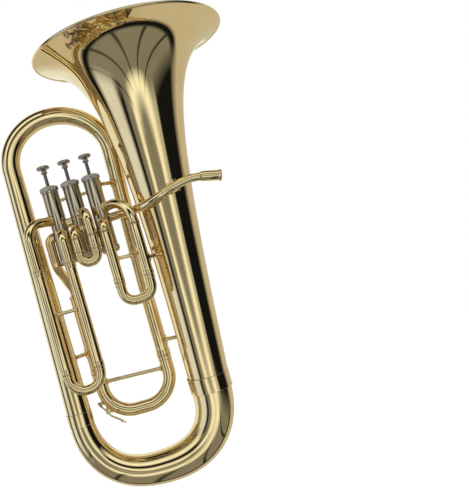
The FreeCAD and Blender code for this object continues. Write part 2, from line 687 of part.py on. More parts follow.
def leadpipe_parts(parts, fill):
    """Leadpipe and the sleeve that takes the mouthpiece."""
    casing = fill["casing_1"]
    fill["leadpipe"] = leadpipe_solid(0.0)
    pipe_shape = fill["leadpipe"].cut(leadpipe_solid(LEADPIPE_WALL)).cut(casing)
    joint = LEADPIPE_POINTS[0]
    inward = (joint - RECEIVER_MOUTH).normalize()
    end = RECEIVER_MOUTH + inward * RECEIVER_LENGTH
    outline = join([
        rod(RECEIVER_MOUTH, end, RECEIVER_R),
        rod(RECEIVER_MOUTH, RECEIVER_MOUTH + inward * 4, RECEIVER_R + 1.1),
    ])
    bore = rod(RECEIVER_MOUTH, RECEIVER_MOUTH + inward * RECEIVER_DEPTH, RECEIVER_BORE)
    throat = rod(RECEIVER_MOUTH, joint + inward, RECEIVER_THROAT_R)
    sleeve = outline.cut(bore).cut(throat).cut(fill["leadpipe"])
    parts["mouthpiece_receiver"] = largest(sleeve)
    parts["leadpipe"] = largest(pipe_shape)
    inlet = LEADPIPE_POINTS[-1]
    cut_ports(parts, 0, [rod(inlet, inlet + V(CASING_R + 4, 0, 0), PORT_R)])


def brace_parts(parts, fill):
    """Soldered braces that tie the branches, valves and slides together."""
    bell_axis = (BELL_RIM - BELL_FOOT).normalize()
    left_axis = (LEFT_HEAD - LEFT_FOOT).normalize()

    def bell_centre(z):
        return BELL_FOOT + bell_axis * ((z - BELL_FOOT.z) / bell_axis.z)

    def bell_r(z):
        return bell_radius((BELL_RIM.z - z) / bell_axis.z)

    def left_centre(z):
        return LEFT_FOOT + left_axis * ((z - LEFT_FOOT.z) / left_axis.z)

    low_z, branch_z, leg_z, slide_z, bell_z = 198.0, 210.0, 446.0, 333.0, 323.0
    tuning = [
        saddle_brace(
            V(TUNING_X[1], TUNING_Y, low_z), bell_centre(low_z), TUNING_OUTER_R, bell_r(low_z),
            UP, bell_axis, [fill["tuning_tube_right"], fill["bell"]],
        ),
        saddle_brace(
            V(TUNING_X[0], TUNING_Y, branch_z), left_centre(branch_z), TUNING_OUTER_R, 17.1,
            UP, left_axis, [fill["tuning_tube_left"], fill["left_branch"]],
        ),
    ]
    parts["tuning_braces"] = group(tuning)

    leg_foot = V(TUNING_X[1], TUNING_Y, TUNING_TUBE_HEAD_Z[1])
    leg_axis = (LEG_HEAD - leg_foot).normalize()

    def leg_centre(z):
        return leg_foot + leg_axis * ((z - leg_foot.z) / leg_axis.z)

    def leg_r(z):
        share = (z - leg_foot.z) / (LEG_HEAD.z - leg_foot.z)
        return TUNING_OUTER_R + (LEG_HEAD_R - TUNING_OUTER_R) * share

    legs = [
        saddle_brace(
            valve_centre(0, leg_z), leg_centre(leg_z), CASING_R, leg_r(leg_z),
            UP, leg_axis, [fill["casing_1"], fill["return_leg"]],
        ),
        saddle_brace(
            V(SLIDES["first"]["x"][0], SLIDE_Y, slide_z), leg_centre(slide_z), SLIDE_OUTER_R,
            leg_r(slide_z), UP, leg_axis, [fill["first_tube_0"], fill["return_leg"]],
        ),
    ]
    parts["return_leg_braces"] = group(legs)

    pipe_point = LEADPIPE_POINTS[2]
    pipe_axis = (LEADPIPE_POINTS[3] - LEADPIPE_POINTS[1]).normalize()
    target = bell_centre(pipe_point.z - 2)
    front = [
        saddle_brace(
            V(SLIDES["first"]["x"][1], SLIDE_Y, bell_z), bell_centre(bell_z), SLIDE_OUTER_R,
            bell_r(bell_z), UP, bell_axis, [fill["first_tube_1"], fill["bell"]],
        ),
        saddle_brace(
            pipe_point, target, 6.1, bell_r(target.z), pipe_axis, bell_axis,
            [fill["leadpipe"], fill["bell"]],
        ),
    ]
    parts["bell_front_braces"] = group(front)


def build():
    parts = {}
    fill = {}
    bands = []
    bell_parts(parts, fill)
    branch_parts(parts, fill)
    ferrule_parts(parts)
    tuning_parts(parts, fill, bands)
    tuning_crook_parts(parts, fill)
    water_key_parts(parts, fill)
    casing_parts(parts, fill)
    piston_parts(parts)
    slide_parts(parts, fill, bands)
    parts["slide_tube_bands"] = group(bands)
    valve_block_parts(parts, fill)
    link_tube_parts(parts, fill)
    leadpipe_parts(parts, fill)
    brace_parts(parts, fill)
    return parts


os.makedirs("parts", exist_ok=True)
for node, shape in build().items():
    shape.exportStep("parts/%s.step" % node)
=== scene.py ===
import json
import math

import bmesh
import bpy
from mathutils import Matrix, Vector


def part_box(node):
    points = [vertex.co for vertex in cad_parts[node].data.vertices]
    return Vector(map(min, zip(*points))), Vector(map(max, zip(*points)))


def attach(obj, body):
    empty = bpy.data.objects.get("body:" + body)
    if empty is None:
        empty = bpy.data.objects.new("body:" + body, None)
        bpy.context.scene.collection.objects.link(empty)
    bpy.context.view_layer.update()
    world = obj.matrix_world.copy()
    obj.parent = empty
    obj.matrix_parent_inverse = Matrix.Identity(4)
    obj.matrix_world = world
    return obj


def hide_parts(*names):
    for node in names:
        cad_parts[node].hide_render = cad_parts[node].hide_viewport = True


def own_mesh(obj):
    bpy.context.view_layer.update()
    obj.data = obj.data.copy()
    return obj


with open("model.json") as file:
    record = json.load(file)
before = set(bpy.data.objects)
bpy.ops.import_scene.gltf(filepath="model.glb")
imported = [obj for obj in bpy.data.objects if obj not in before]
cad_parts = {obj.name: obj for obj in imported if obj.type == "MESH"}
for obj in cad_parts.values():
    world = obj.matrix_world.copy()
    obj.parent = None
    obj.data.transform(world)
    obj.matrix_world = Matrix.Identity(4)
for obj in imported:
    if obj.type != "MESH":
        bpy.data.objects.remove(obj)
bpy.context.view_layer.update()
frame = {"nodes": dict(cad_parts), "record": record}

# Lengths below are millimetres in the CAD frame; MM turns them into Blender's metres.
MM = 0.001
UP = Vector((0, 0, 1))
ROUND = 96
ROUND_FINE = 256
ROUND_SMALL = 48

BELL_RIM_R = 140.0
BELL_FLARE_POWER = 0.488
BELL_FLARE_DEPTH = 22.2
BELL_WALL = 0.9
RIM_WIRE_R = 2.2
BOW_RIGHT_R = 29.8
BOW_LEFT_R = 18.2
BOW_DEPTH = 95.84
BOW_FULLNESS = (2.45, 2.25)
BRANCH_WALL = 0.8
FERRULE_WALL = 0.55
TOP_BOW_LEFT_R = 13.7
TOP_BOW_RIGHT_R = 12.5
TOP_BOW_FULLNESS = (2.0, 2.0)
TUNING_OUTER_R = 10.2
TUNING_LEG_R = 9.35
CROOK_R = 10.0
CROOK_BEND = 43.0
CROOK_ROD_Z = (161.0, 157.0)
SLIDE_OUTER_R = 7.5
SLIDE_LEG_R = 6.7
BRANCH_TUBE_R = 7.0
CASING_R = 12.25
CASING_BORE = 11.0
KNUCKLE_Z = 388.5
KNUCKLE_BEND = 13.0
STRUT_Z = 438.0
THIRD_ROD_Z = 280.0
SPRING_WIRE_R = 0.5
SPRING_TURNS = 5


def box_mm(node):
    """Lowest and highest corner of a CAD node, in millimetres."""
    low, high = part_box(node)
    return Vector(low) / MM, Vector(high) / MM


def middle(node):
    low, high = box_mm(node)
    return (low + high) * 0.5


def level(point, z):
    return Vector((point.x, point.y, z))


# ---------------------------------------------------------------- mesh tools

def build_mesh(name, verts, faces, sharp_deg=40):
    """Mesh object from points in millimetres, with clean normals and smooth shading."""
    mesh = bpy.data.meshes.new(name)
    mesh.from_pydata([v * MM for v in verts], [], faces)
    work = bmesh.new()
    work.from_mesh(mesh)
    bmesh.ops.remove_doubles(work, verts=work.verts, dist=2e-6)
    bmesh.ops.dissolve_degenerate(work, edges=work.edges, dist=1e-6)
    bmesh.ops.recalc_face_normals(work, faces=work.faces)
    work.to_mesh(mesh)
    work.free()
    mesh.shade_smooth()
    mesh.set_sharp_from_angle(angle=math.radians(sharp_deg))
    obj = bpy.data.objects.new(name, mesh)
    bpy.context.scene.collection.objects.link(obj)
    return obj


def square_to(axis):
    """Two directions square to an axis."""
    axis = axis.normalized()
    guide = Vector((1, 0, 0)) if abs(axis.x) < 0.9 else Vector((0, 1, 0))
    first = (guide - axis * guide.dot(axis)).normalized()
    return first, axis.cross(first)


def lathe_data(profile, origin, axis, steps=ROUND, closed=True):
    """Points and faces of an outline of (radius, height) pairs turned about an axis."""
    first, second = square_to(axis)
    axis = axis.normalized()
    verts = []
    faces = []
    count = len(profile)
    for step in range(steps):
        angle = 2 * math.pi * step / steps
        out = first * math.cos(angle) + second * math.sin(angle)
        verts += [origin + out * r + axis * h for r, h in profile]
    last = count if closed else count - 1
    for step in range(steps):
        here, there = step * count, ((step + 1) % steps) * count
        for i in range(last):
            j = (i + 1) % count
            faces.append((here + i, there + i, there + j, here + j))
    return verts, faces


def sweep_data(centres, radii, steps=ROUND, wall=None):
    """Points and faces of a round tube along centres; with a wall it is hollow, else capped."""
    tangents = []
    for i, centre in enumerate(centres):
        before = centres[max(i - 1, 0)]
        after = centres[min(i + 1, len(centres) - 1)]
        tangents.append((after - before).normalized())
    first, _ = square_to(tangents[0])
    rings = []
    for i, (centre, tangent) in enumerate(zip(centres, tangents)):
        if i:
            turn = tangents[i - 1].rotation_difference(tangent)
            first = turn @ first
        first = (first - tangent * first.dot(tangent)).normalized()
        rings.append((centre, first.copy(), tangent.cross(first)))
    verts = []
    faces = []
    skins = [0.0] if wall is None else [0.0, wall]
    for thinner in skins:
        for (centre, x_dir, y_dir), radius in zip(rings, radii):
            for step in range(steps):
                angle = 2 * math.pi * step / steps
                out = x_dir * math.cos(angle) + y_dir * math.sin(angle)
                verts.append(centre + out * (radius - thinner))
    count = len(rings)
    for skin in range(len(skins)):
        base = skin * count * steps
        for i in range(count - 1):
            for step in range(steps):
                a = base + i * steps + step
                b = base + i * steps + (step + 1) % steps
                quad = (a, b, b + steps, a + steps)
                faces.append(quad if skin == 0 else quad[::-1])
    if wall is None:
        faces.append(tuple(range(steps))[::-1])
        faces.append(tuple(range((count - 1) * steps, count * steps)))
    else:
        inner = count * steps
        for ring, flip in ((0, False), (count - 1, True)):
            for step in range(steps):
                a = ring * steps + step
                b = ring * steps + (step + 1) % steps
                quad = (a, a + inner, b + inner, b)
                faces.append(quad[::-1] if flip else quad)
    return verts, faces


def combine(shapes):
    """Several point-and-face pairs as one."""
    verts = []
    faces = []
    for part_verts, part_faces in shapes:
        shift = len(verts)
        verts += part_verts
        faces += [tuple(i + shift for i in face) for face in part_faces]
    return verts, faces


def rounded(points, bends, step_deg=3.0):
    """Centre line along straight runs joined by tangent arcs."""
    line = [points[0].copy()]
    for i, bend in enumerate(bends, start=1):
        before = (points[i] - points[i - 1]).normalized()
        after = (points[i + 1] - points[i]).normalized()
        turn = before.angle(after)
        setback = bend * math.tan(turn / 2)
        start = points[i] - before * setback
        side = (after - before * before.dot(after)).normalized()
        centre = start + side * bend
        count = max(2, int(math.degrees(turn) / step_deg))
        for k in range(count + 1):
            angle = turn * k / count
            line.append(centre - side * (bend * math.cos(angle)) + before * (bend * math.sin(angle)))
    line.append(points[-1].copy())
    kept = [line[0]]
    for point in line[1:]:
        if (point - kept[-1]).length > 0.05:
            kept.append(point)
    return kept


def half_turn(start, end, rise, fullness, count=97):
    """Half turn that stands on, or hangs from, the line between two points; a fullness over 2 squares it."""
    centre = (start + end) * 0.5
    across = (end - start) * 0.5
    line = []
    for i in range(count):
        share = i / (count - 1)
        angle = math.pi * share
        power = fullness[0] + (fullness[1] - fullness[0]) * share
        reach = (abs(math.cos(angle)) ** power + abs(math.sin(angle)) ** power) ** (-1 / power)
        line.append(centre - across * (reach * math.cos(angle)) + UP * (rise * reach * math.sin(angle)))
    return line


def taper(start_r, end_r, count):
    return [start_r + (end_r - start_r) * i / (count - 1) for i in range(count)]


def softened(profile, size=0.25, steps=3):
    """A closed outline with each corner rounded a little, so that its edges catch the light."""
    result = []
    count = len(profile)
    for i in range(count):
        before = Vector(profile[i - 1])
        here = Vector(profile[i])
        after = Vector(profile[(i + 1) % count])
        if here.x < 1e-6:
            result.append((0.0, here.y))
            continue
        reach = min(size, (before - here).length * 0.4, (after - here).length * 0.4)
        start = here + (before - here).normalized() * reach
        end = here + (after - here).normalized() * reach
        for k in range(steps + 1):
            t = k / steps
            point = start * (1 - t) ** 2 + here * (2 * t * (1 - t)) + end * t ** 2
            result.append((point.x, point.y))
    return result


def ring_profile(outer, inner, low, high, bead=0.0):
    """Outline of a band; a bead leaves a half-round roll standing out at each end."""
    bead = min(bead, (outer - inner) / 2, (high - low) / 4)
    if bead <= 0:
        return softened([(inner, low), (outer, low), (outer, high), (inner, high)], 0.3)
    points = [(inner, low)]
    for centre in (low + bead, high - bead):
        for k in range(9):
            angle = -math.pi / 2 + math.pi * k / 8
            points.append((outer - bead + bead * math.cos(angle), centre + bead * math.sin(angle)))
    points.append((inner, high))
    return points


# ---------------------------------------------------------------- materials

class Nodes:
    """Short-hand for making a node tree."""

    def __init__(self, tree):
        self.tree = tree
        tree.nodes.clear()

    def add(self, kind, **values):
        node = self.tree.nodes.new(kind)
        for name, value in values.items():
            setattr(node, name, value)
        return node

    def link(self, out_socket, in_socket):
        self.tree.links.new(out_socket, in_socket)

    def noise(self, coords, scale, detail=3.0, roughness=0.5):
        node = self.add("ShaderNodeTexNoise")
        node.inputs["Scale"].default_value = scale
        node.inputs["Detail"].default_value = detail
        node.inputs["Roughness"].default_value = roughness
        self.link(coords, node.inputs["Vector"])
        return node.outputs["Fac"]

    def ramp(self, factor, stops, interpolation="LINEAR"):
        node = self.add("ShaderNodeValToRGB")
        node.color_ramp.interpolation = interpolation
        while len(node.color_ramp.elements) < len(stops):
            node.color_ramp.elements.new(0.5)
        for element, (position, colour) in zip(node.color_ramp.elements, stops):
            element.position = position
            element.color = (*colour, 1.0)
        self.link(factor, node.inputs["Fac"])
        return node.outputs["Color"]

    def span(self, value, low_in, high_in, low_out, high_out):
        node = self.add("ShaderNodeMapRange")
        for name, number in (
            ("From Min", low_in), ("From Max", high_in), ("To Min", low_out), ("To Max", high_out)
        ):
            node.inputs[name].default_value = number
        self.link(value, node.inputs["Value"])
        return node.outputs["Result"]

    def blend(self, share, a, b, mode="MIX"):
        node = self.add("ShaderNodeMix", data_type="RGBA", blend_type=mode)
        for name, value in (("Factor", share), ("A", a), ("B", b)):
            if isinstance(value, (int, float)):
                node.inputs[name].default_value = value
            else:
                self.link(value, node.inputs[name])
        return node.outputs["Result"]

    def math(self, operation, a, b=None):
        node = self.add("ShaderNodeMath", operation=operation)
        for socket, value in zip(node.inputs, (a, b)):
            if value is None:
                continue
            if isinstance(value, (int, float)):
                socket.default_value = value
            else:
                self.link(value, socket)
        return node.outputs["Value"]


def new_material(name):
    material = bpy.data.materials.new(name)
    material.use_nodes = True
    return material, Nodes(material.node_tree)


def metal(name, bright, shade_and_tarnish, rough_low, rough_high, coat=0.0, stain=0.25):
    """Polished metal: painted shade in hollows, tarnish in patches, faint waviness and hairline scratches."""
    material, nodes = new_material(name)
    output = nodes.add("ShaderNodeOutputMaterial")
    shader = nodes.add("ShaderNodeBsdfPrincipled")
    coords = nodes.add("ShaderNodeTexCoord").outputs["Object"]
    shader.inputs["Metallic"].default_value = 1.0
    shader.inputs["Coat Weight"].default_value = coat
    shader.inputs["Coat Roughness"].default_value = 0.04

    patches = nodes.noise(coords, 22.0, 4.0, 0.55)
    # Painted shade: the occlusion node darkens the base colour towards its darkest colour in hollows and
    # between parts, where shade falls; the noise patches are slight tarnish.
    hollow = nodes.add("ShaderNodeAmbientOcclusion", samples=16)
    hollow.inputs["Distance"].default_value = 0.003
    unshaded_share = nodes.span(hollow.outputs["AO"], 0.2, 0.8, 0.55, 1.0)
    patch_share = nodes.span(patches, 0.3, 0.7, 1.0 - stain, 1.0)
    share = nodes.math("MULTIPLY", unshaded_share, patch_share)
    colour = nodes.ramp(share, [(0.0, shade_and_tarnish), (0.9, bright)])
    nodes.link(colour, shader.inputs["Base Color"])

    smears = nodes.noise(coords, 70.0, 3.0, 0.6)
    nodes.link(nodes.span(smears, 0.35, 0.75, rough_low, rough_high), shader.inputs["Roughness"])

    waves = nodes.noise(coords, 14.0, 1.0, 0.4)
    low_bump = nodes.add("ShaderNodeBump")
    low_bump.inputs["Strength"].default_value = 0.12
    low_bump.inputs["Distance"].default_value = 0.001
    nodes.link(waves, low_bump.inputs["Height"])
    fine_bump = nodes.add("ShaderNodeBump")
    fine_bump.inputs["Strength"].default_value = 0.04
    fine_bump.inputs["Distance"].default_value = 0.00003
    nodes.link(nodes.noise(coords, 900.0, 2.0, 0.5), fine_bump.inputs["Height"])
    nodes.link(low_bump.outputs["Normal"], fine_bump.inputs["Normal"])
    nodes.link(fine_bump.outputs["Normal"], shader.inputs["Normal"])
    nodes.link(shader.outputs["BSDF"], output.inputs["Surface"])
    return material


def matte(name, light, dark, scale, roughness, bump, sheen=0.0):
    """Fibrous or grainy matt material, such as felt or cork."""
    material, nodes = new_material(name)
    output = nodes.add("ShaderNodeOutputMaterial")
    shader = nodes.add("ShaderNodeBsdfPrincipled")
    coords = nodes.add("ShaderNodeTexCoord").outputs["Object"]
    shader.inputs["Roughness"].default_value = roughness
    shader.inputs["Sheen Weight"].default_value = sheen
    grain = nodes.noise(coords, scale, 5.0, 0.65)
    nodes.link(nodes.ramp(grain, [(0.3, dark), (0.65, light)]), shader.inputs["Base Color"])
    bumps = nodes.add("ShaderNodeBump")
    bumps.inputs["Strength"].default_value = 0.6
    bumps.inputs["Distance"].default_value = bump
    nodes.link(grain, bumps.inputs["Height"])
    nodes.link(bumps.outputs["Normal"], shader.inputs["Normal"])
    nodes.link(shader.outputs["BSDF"], output.inputs["Surface"])
    return material


BRASS = metal("lacquered_brass", (0.88, 0.70, 0.41), (0.46, 0.26, 0.09), 0.03, 0.07, coat=0.1)
# Painted shade: the valve casings are brass, given a darker and greyer copy of its colour.
CASING = metal("casing_brass", (0.50, 0.43, 0.33), (0.10, 0.07, 0.05), 0.03, 0.07)
NICKEL = metal("polished_nickel", (0.56, 0.51, 0.48), (0.08, 0.06, 0.06), 0.04, 0.10)
# Painted shade: the finger buttons are nickel, given a darker copy of its colour.
BUTTON = metal("shaded_button_nickel", (0.42, 0.36, 0.34), (0.08, 0.05, 0.05), 0.05, 0.12)
# Painted shade: the valve stems are nickel, given a much darker copy of its colour.
STEM = metal("shaded_stem_nickel", (0.20, 0.17, 0.16), (0.04, 0.03, 0.03), 0.08, 0.16)
STEEL = metal("spring_steel", (0.62, 0.62, 0.63), (0.2, 0.2, 0.21), 0.15, 0.3)
FELT = matte("pressed_felt", (0.50, 0.46, 0.42), (0.28, 0.25, 0.23), 900.0, 0.95, 0.0004, 0.4)
CORK = matte("cork", (0.62, 0.42, 0.24), (0.28, 0.16, 0.08), 1400.0, 0.85, 0.0003)


def add_piece(name, shape, body, material, nodes, sharp_deg=40):
    """A finished piece that rides on a body and stands for CAD nodes."""
    obj = build_mesh(name, *shape, sharp_deg=sharp_deg)
    obj.data.materials.append(material)
    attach(obj, body)
    if nodes:
        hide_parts(*nodes)
    return obj


# ---------------------------------------------------------------- bell and branches

FOOT_Z = box_mm("bell_stem")[0].z
BELL_RIM = middle("bell_rim_wire") - Vector((0, 0, 0.4))
BELL_FOOT = level(middle("bell_ferrule"), FOOT_Z)
BELL_AXIS = (BELL_RIM - BELL_FOOT).normalized()
LEFT_FOOT = level(middle("left_ferrule"), FOOT_Z)
BRANCH_TOP_Z = box_mm("left_branch")[1].z
TOP_BOW_LOW, TOP_BOW_HIGH = box_mm("top_bow")
LEFT_HEAD = Vector((TOP_BOW_LOW.x + TOP_BOW_LEFT_R, 0, BRANCH_TOP_Z))
LEG_HEAD = Vector((TOP_BOW_HIGH.x - TOP_BOW_RIGHT_R, TOP_BOW_HIGH.y - TOP_BOW_RIGHT_R, BRANCH_TOP_Z))


def bell_radius(from_rim):
    return BELL_RIM_R * (BELL_FLARE_DEPTH / (BELL_FLARE_DEPTH + from_rim)) ** BELL_FLARE_POWER


def bell_slope(from_rim):
    return BELL_FLARE_POWER * bell_radius(from_rim) / (BELL_FLARE_DEPTH + from_rim)


def bell():
    length = (BELL_RIM - BELL_FOOT).length
    stations = [length * (i / 160) ** 2.2 for i in range(161)]
    outer = [(bell_radius(s), length - s) for s in stations]
    inner = [(bell_radius(s) - BELL_WALL * math.hypot(1, bell_slope(s)), length - s) for s in stations]
    shape = lathe_data(outer + inner[::-1], BELL_FOOT, BELL_AXIS, ROUND_FINE)
    add_piece("bell_sheet", shape, "horn", BRASS, ["bell_flare", "bell_throat", "bell_stem"])

    wire = [
        (BELL_RIM_R - RIM_WIRE_R + RIM_WIRE_R * math.cos(a), 0.4 + RIM_WIRE_R * math.sin(a))
        for a in [2 * math.pi * k / 24 for k in range(24)]
    ]
    bead = lathe_data(wire, BELL_RIM, BELL_AXIS, ROUND_FINE)
    add_piece("bell_rim_bead", bead, "horn", BRASS, ["bell_rim_wire"])


def branches():
    line = half_turn(BELL_FOOT, LEFT_FOOT, -BOW_DEPTH, BOW_FULLNESS)
    shape = sweep_data(line, taper(BOW_RIGHT_R, BOW_LEFT_R, len(line)), 128, BRANCH_WALL)
    add_piece("bottom_bow_tube", shape, "horn", BRASS, ["bottom_bow"])

    line = [LEFT_FOOT.lerp(LEFT_HEAD, i / 40) for i in range(41)]
    shape = sweep_data(line, taper(BOW_LEFT_R, TOP_BOW_LEFT_R, 41), ROUND, BRANCH_WALL)
    add_piece("left_branch_tube", shape, "horn", BRASS, ["left_branch"])

    rise = TOP_BOW_HIGH.z - BRANCH_TOP_Z - (TOP_BOW_LEFT_R + TOP_BOW_RIGHT_R) / 2
    line = half_turn(LEFT_HEAD, LEG_HEAD, rise, TOP_BOW_FULLNESS)
    shape = sweep_data(line, taper(TOP_BOW_LEFT_R, TOP_BOW_RIGHT_R, len(line)), ROUND, BRANCH_WALL)
    add_piece("top_bow_tube", shape, "horn", BRASS, ["top_bow"])

    foot = level(TUNING_FEET[1], box_mm("return_leg")[0].z)
    line = [foot.lerp(LEG_HEAD, i / 24) for i in range(25)]
    radii = taper(TUNING_OUTER_R, TOP_BOW_RIGHT_R, 25)
    shapes = [sweep_data(line, radii, ROUND, BRANCH_WALL)]
    for i in (8, 24):
        ring = ring_profile(radii[i] + 0.6, radii[i] - 0.4, -3.0, 3.0 if i < 24 else 0.0, 0.6)
        shapes.append(lathe_data(ring, line[i], line[-1] - line[0], ROUND))
    add_piece("return_leg_tube", combine(shapes), "horn", BRASS, ["return_leg"])


def ferrules():
    for node in ("bell_ferrule", "left_ferrule"):
        low, high = box_mm(node)
        radius = (high.y - low.y) / 2
        profile = ring_profile(radius, radius - FERRULE_WALL, 0.0, high.z - low.z, FERRULE_WALL)
        shape = lathe_data(profile, level(middle(node), low.z), UP, 128)
        add_piece(node + "_band", shape, "horn", BRASS, [node])


# ---------------------------------------------------------------- main tuning slide

def tuning_feet():
    low, high = box_mm("tuning_outer_tubes")
    y = (low.y + high.y) / 2
    return [Vector((x, y, low.z)) for x in (low.x + TUNING_OUTER_R, high.x - TUNING_OUTER_R)]


TUNING_FEET = tuning_feet()
GAP = 0.3


def straight_tube(foot, head, outer, inner):
    return lathe_data(
        softened([(inner, 0), (outer, 0), (outer, (head - foot).length), (inner, (head - foot).length)], 0.2),
        foot, head - foot, ROUND,
    )


def tuning_slide():
    head_z = (box_mm("tuning_outer_tubes")[1].z, box_mm("return_leg")[0].z)
    tubes = [
        straight_tube(foot, level(foot, z), TUNING_OUTER_R, TUNING_LEG_R + 0.05)
        for foot, z in zip(TUNING_FEET, head_z)
    ]
    add_piece("tuning_tubes", combine(tubes), "horn", BRASS, ["tuning_outer_tubes"])

    left, right = TUNING_FEET
    shoulder_z = left.z - GAP
    bow_low_z = box_mm("tuning_crook")[0].z + CROOK_R
    points = [
        level(left, shoulder_z), level(left, bow_low_z),
        level(right, bow_low_z), level(right, shoulder_z),
    ]
    line = rounded(points, [CROOK_BEND, CROOK_BEND])
    crook = [sweep_data(line, [CROOK_R] * len(line), ROUND, 1.2)]
    leg_top = box_mm("tuning_crook")[1].z
    for foot in (left, right):
        shoulder = level(foot, shoulder_z)
        crook.append(straight_tube(shoulder, level(foot, leg_top), TUNING_LEG_R, TUNING_LEG_R - 0.55))
        band = ring_profile(TUNING_OUTER_R + 0.7, CROOK_R - 0.3, -7.0, 0.0, 0.9)
        crook.append(lathe_data(band, shoulder, UP, ROUND))
    add_piece("tuning_crook_tube", combine(crook), "main_tuning_slide", BRASS, ["tuning_crook"])

    start, end = level(left, CROOK_ROD_Z[0]), level(right, CROOK_ROD_Z[1])
    length = (end - start).length
    edge = CROOK_R - 0.6
    half = [(0, edge), (5.2, edge), (5.2, edge + 1.2), (4.0, edge + 2.0), (3.0, edge + 3.4), (2.9, edge + 7)]
    whole = half + [(r, length - h) for r, h in half[::-1]]
    shape = lathe_data(softened(whole, 0.5), start, end - start, ROUND_SMALL)
    add_piece("tuning_crook_cross_rod", shape, "main_tuning_slide", BRASS, ["tuning_crook_rod"])


# ---------------------------------------------------------------- valve slides

SLIDES = {
    "first": dict(valve=0, upper_leg=1, upper_bend=32.0, bend=17.0),
    "second": dict(valve=1, upper_leg=1, upper_bend=15.0, bend=11.0),
    "third": dict(valve=2, upper_leg=0, upper_bend=24.0, bend=22.0),
}


def valve_axis(index):
    return middle("valve_casing_%d" % (index + 1))


def valve_slide(name, index, upper_leg, upper_bend, bend):
    low, high = box_mm(name + "_slide_outer_tubes")
    y = (low.y + high.y) / 2
    feet = [Vector((x, y, low.z)) for x in (low.x + SLIDE_OUTER_R, high.x - SLIDE_OUTER_R)]
    tubes = [straight_tube(foot, level(foot, high.z), SLIDE_OUTER_R, SLIDE_LEG_R + 0.05) for foot in feet]
    add_piece(name + "_slide_tubes", combine(tubes), "horn", BRASS, [name + "_slide_outer_tubes"])

    upper_z = box_mm(name + "_slide_branches")[1].z - BRANCH_TUBE_R
    branches_shape = []
    for foot, z, arc in (
        (feet[upper_leg], upper_z, upper_bend), (feet[1 - upper_leg], KNUCKLE_Z, KNUCKLE_BEND)
    ):
        axis = level(valve_axis(index), z)
        corner = level(foot, z)
        start = axis + (corner - axis).normalized() * (CASING_R - 0.6)
        line = rounded([start, corner, level(foot, high.z)], [arc])
        branches_shape.append(sweep_data(line, [BRANCH_TUBE_R] * len(line), ROUND, 1.0))
        collar = ring_profile(BRANCH_TUBE_R + 0.7, BRANCH_TUBE_R - 0.2, 0.0, 3.2, 0.7)
        outward = corner - axis
        branches_shape.append(lathe_data(collar, start + outward.normalized() * 0.8, outward, ROUND))
        joint = ring_profile(SLIDE_OUTER_R + 0.7, BRANCH_TUBE_R - 0.2, -3.0, 1.5, 0.7)
        branches_shape.append(lathe_data(joint, level(foot, high.z), UP, ROUND))
    add_piece(
        name + "_slide_branch_tubes", combine(branches_shape),
        "horn", BRASS, [name + "_slide_branches"],
    )

    crook_low, crook_high = box_mm(name + "_slide_crook")
    bow_z = crook_low.z + BRANCH_TUBE_R
    shoulder_z = low.z - GAP
    points = [
        level(feet[0], shoulder_z), level(feet[0], bow_z),
        level(feet[1], bow_z), level(feet[1], shoulder_z),
    ]
    line = rounded(points, [bend, bend])
    crook = [sweep_data(line, [BRANCH_TUBE_R] * len(line), ROUND, 1.1)]
    band_height = min(6.0, shoulder_z - bow_z - bend)
    for foot in feet:
        shoulder = level(foot, shoulder_z)
        crook.append(straight_tube(shoulder, level(foot, crook_high.z), SLIDE_LEG_R, SLIDE_LEG_R - 0.5))
        band = ring_profile(SLIDE_OUTER_R + 0.7, BRANCH_TUBE_R - 0.3, -band_height, 0.0, 0.7)
        crook.append(lathe_data(band, shoulder, UP, ROUND))
    add_piece(name + "_slide_crook_tube", combine(crook), name + "_slide", BRASS, [name + "_slide_crook"])
    return feet, high.z


def slide_bands():
    """Every slide with its tubes, then the bands at the ends of the fixed tubes."""
    band = ring_profile(TUNING_OUTER_R + 1.0, TUNING_OUTER_R, 0, 8.0, 1.0)
    rings = [lathe_data(band, foot, UP, ROUND) for foot in TUNING_FEET]
    for name, spec in SLIDES.items():
        feet, head_z = valve_slide(name, spec["valve"], spec["upper_leg"], spec["upper_bend"], spec["bend"])
        height = {"first": 6.0, "second": 4.0, "third": 7.0}[name]
        for foot in feet:
            end_band = ring_profile(SLIDE_OUTER_R + 0.9, SLIDE_OUTER_R, 0, height, 0.8)
            rings.append(lathe_data(end_band, foot, UP, ROUND))
            if name == "third":
                band = ring_profile(SLIDE_OUTER_R + 1.0, SLIDE_OUTER_R, -7.0, 0.0, 0.9)
                rings.append(lathe_data(band, level(foot, head_z), UP, ROUND))
    add_piece("slide_end_bands", combine(rings), "horn", BRASS, ["slide_tube_bands"])


# ---------------------------------------------------------------- valves

def knurled(profile_low, profile_high, radius, depth, ridges, origin, inner):
    """Band with upright rounded ridges round its outside."""
    steps = ridges * 6
    verts = []
    faces = []
    for step in range(steps):
        angle = 2 * math.pi * step / steps
        out = Vector((math.cos(angle), math.sin(angle), 0))
        wave = radius - depth * (0.5 + 0.5 * math.cos(ridges * angle))
        for r, z in ((inner, profile_low), (wave - 0.3, profile_low), (wave, profile_low + 0.5),
                     (wave, profile_high - 0.5), (wave - 0.3, profile_high), (inner, profile_high)):
            verts.append(origin + out * r + UP * z)
    for step in range(steps):
        here, there = step * 6, ((step + 1) % steps) * 6
        for i in range(6):
            j = (i + 1) % 6
            faces.append((here + i, there + i, there + j, here + j))
    return verts, faces


